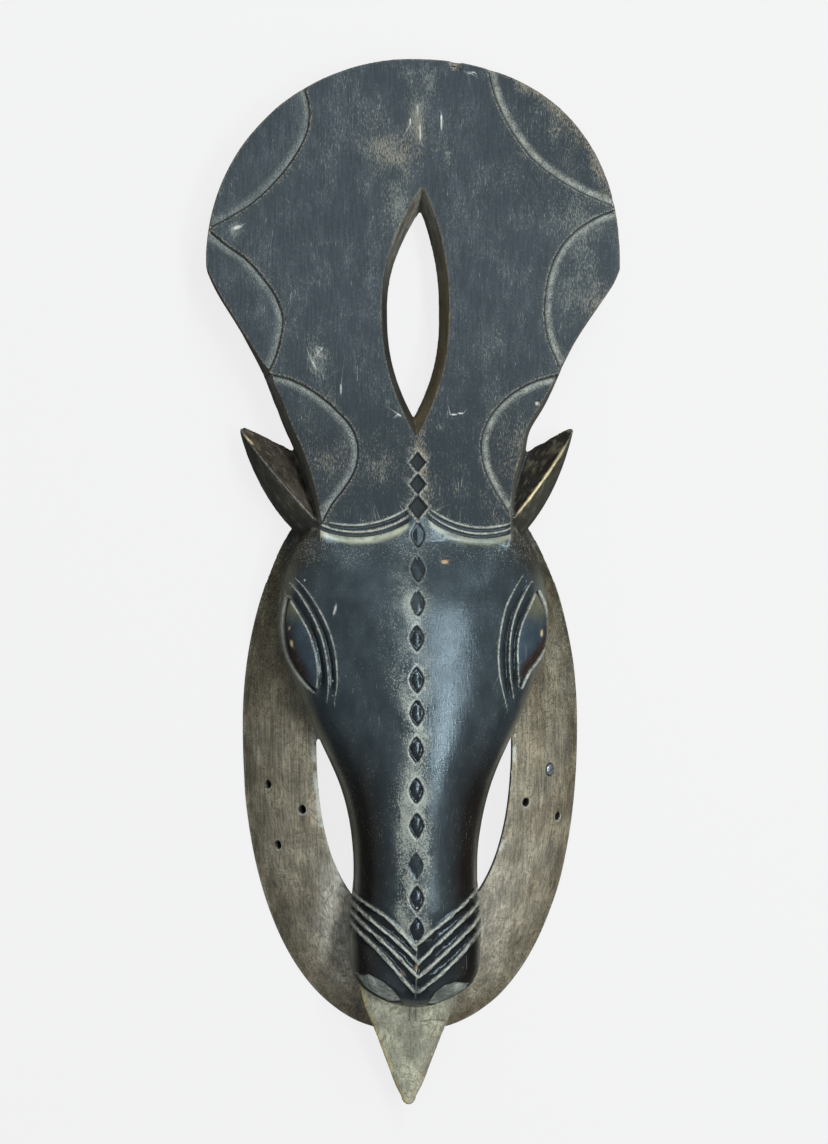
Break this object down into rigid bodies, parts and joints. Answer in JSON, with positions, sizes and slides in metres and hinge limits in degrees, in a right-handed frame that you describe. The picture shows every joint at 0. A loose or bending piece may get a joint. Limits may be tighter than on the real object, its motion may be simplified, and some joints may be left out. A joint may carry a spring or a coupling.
{
  "type": "carved horned-animal mask",
  "caption": "Carved wooden face mask of a horned animal: long muzzle, broad flat crest with a lens-shaped opening, folded ears, hollow collar band and pointed chin.",
  "frame": {"origin": "centre of the bounding box on the plane that the mask lies on, below the forehead", "axes": "+Z out of the face, +Y towards the top of the crest, +X to the right of someone who looks at the face"},
  "size_m": [0.2479, 0.63, 0.0949],
  "materials": {
    "dark_wood": "dark waxed patina, worn and dusty at the edges",
    "screw_steel": "dull, scratched"
  },
  "bodies": {
    "root": {"mask": "dark_wood", "screw": "screw_steel"}
  },
  "joints": []
}
